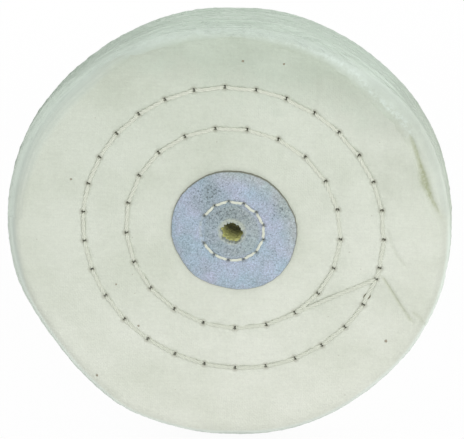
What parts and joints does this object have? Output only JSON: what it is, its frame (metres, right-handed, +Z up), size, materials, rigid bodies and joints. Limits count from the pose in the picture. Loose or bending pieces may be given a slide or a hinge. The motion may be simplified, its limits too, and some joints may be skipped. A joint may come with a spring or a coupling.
{
  "type": "stitched cloth polishing wheel",
  "caption": "Stitched cotton cloth polishing wheel with leather centre discs and a small bore for a tapered spindle.",
  "frame": {"origin": "centre of the wheel on the bore axis, at the middle of its thickness", "axes": "+Y along the bore, away from the front face; +Z up; +X to the right seen from the front"},
  "size_m": [0.1016, 0.0172, 0.1016],
  "materials": {
    "cotton_cloth": "plain woven unbleached cotton, soft worn rim",
    "suede_leather": "blue-grey suede, mottled",
    "cotton_thread": "twisted cotton sewing thread"
  },
  "bodies": {
    "root": {"ply_01": "cotton_cloth", "ply_02": "cotton_cloth", "ply_03": "cotton_cloth", "ply_04": "cotton_cloth", "ply_05": "cotton_cloth", "ply_06": "cotton_cloth", "ply_07": "cotton_cloth", "ply_08": "cotton_cloth", "ply_09": "cotton_cloth", "ply_10": "cotton_cloth", "ply_11": "cotton_cloth", "ply_12": "cotton_cloth", "ply_13": "cotton_cloth", "ply_14": "cotton_cloth", "ply_15": "cotton_cloth", "ply_16": "cotton_cloth", "ply_17": "cotton_cloth", "ply_18": "cotton_cloth", "ply_19": "cotton_cloth", "ply_20": "cotton_cloth", "ply_21": "cotton_cloth", "ply_22": "cotton_cloth", "ply_23": "cotton_cloth", "ply_24": "cotton_cloth", "ply_25": "cotton_cloth", "ply_26": "cotton_cloth", "ply_27": "cotton_cloth", "ply_28": "cotton_cloth", "ply_29": "cotton_cloth", "ply_30": "cotton_cloth", "ply_31": "cotton_cloth", "ply_32": "cotton_cloth", "ply_33": "cotton_cloth", "ply_34": "cotton_cloth", "ply_35": "cotton_cloth", "ply_36": "cotton_cloth", "ply_37": "cotton_cloth", "ply_38": "cotton_cloth", "ply_39": "cotton_cloth", "ply_40": "cotton_cloth", "ply_41": "cotton_cloth", "ply_42": "cotton_cloth", "ply_43": "cotton_cloth", "ply_44": "cotton_cloth", "ply_45": "cotton_cloth", "ply_46": "cotton_cloth", "ply_47": "cotton_cloth", "ply_48": "cotton_cloth", "ply_49": "cotton_cloth", "ply_50": "cotton_cloth", "leather_disc_front": "suede_leather", "leather_disc_back": "suede_leather", "ring_thread_front": "cotton_thread", "ring_thread_back": "cotton_thread", "leather_thread_front": "cotton_thread", "leather_thread_back": "cotton_thread"}
  },
  "joints": []
}
